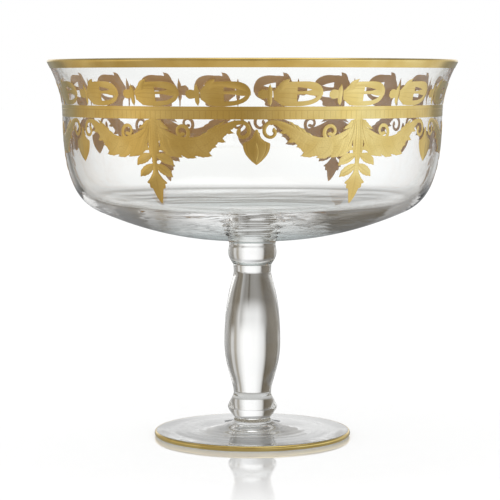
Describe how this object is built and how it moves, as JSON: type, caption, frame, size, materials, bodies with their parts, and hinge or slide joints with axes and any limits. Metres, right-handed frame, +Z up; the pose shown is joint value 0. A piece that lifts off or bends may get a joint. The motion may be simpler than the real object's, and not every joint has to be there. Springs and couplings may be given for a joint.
{
  "type": "compote bowl",
  "caption": "Footed clear glass compote bowl with a flared lip, knopped baluster stem and round foot, gilded with a frieze of scrolls, swags, leaf drops and pendants; holds fruit or sweets.",
  "frame": {"origin": "on the axis, on the surface that the foot stands on", "axes": "+Z up along the axis of the stem; a pendant of the gilding faces -Y"},
  "size_m": [0.2414, 0.2414, 0.2235],
  "materials": {
    "clear_glass": "clear, fire polished",
    "gilding": "fired gold, burnished and finely engraved"
  },
  "bodies": {
    "root": {"foot": "clear_glass", "lower_knop": "clear_glass", "baluster": "clear_glass", "upper_knop": "clear_glass", "bowl": "clear_glass", "foot_gilding": "gilding", "rim_gilding": "gilding", "frieze_band": "gilding", "frieze_scroll_01": "gilding", "frieze_scroll_02": "gilding", "frieze_scroll_03": "gilding", "frieze_scroll_04": "gilding", "frieze_scroll_05": "gilding", "frieze_scroll_06": "gilding", "frieze_scroll_07": "gilding", "frieze_scroll_08": "gilding", "frieze_scroll_09": "gilding", "frieze_scroll_10": "gilding", "frieze_scroll_11": "gilding", "frieze_scroll_12": "gilding", "frieze_scroll_13": "gilding", "frieze_scroll_14": "gilding", "frieze_scroll_15": "gilding", "frieze_scroll_16": "gilding", "frieze_scroll_17": "gilding", "frieze_scroll_18": "gilding", "pendant_01": "gilding", "pendant_02": "gilding", "pendant_03": "gilding", "pendant_04": "gilding", "pendant_05": "gilding", "pendant_06": "gilding", "leaf_drop_01": "gilding", "leaf_drop_02": "gilding", "leaf_drop_03": "gilding", "leaf_drop_04": "gilding", "leaf_drop_05": "gilding", "leaf_drop_06": "gilding", "swag_right_01": "gilding", "swag_right_02": "gilding", "swag_right_03": "gilding", "swag_right_04": "gilding", "swag_right_05": "gilding", "swag_right_06": "gilding", "swag_left_01": "gilding", "swag_left_02": "gilding", "swag_left_03": "gilding", "swag_left_04": "gilding", "swag_left_05": "gilding", "swag_left_06": "gilding"}
  },
  "joints": []
}
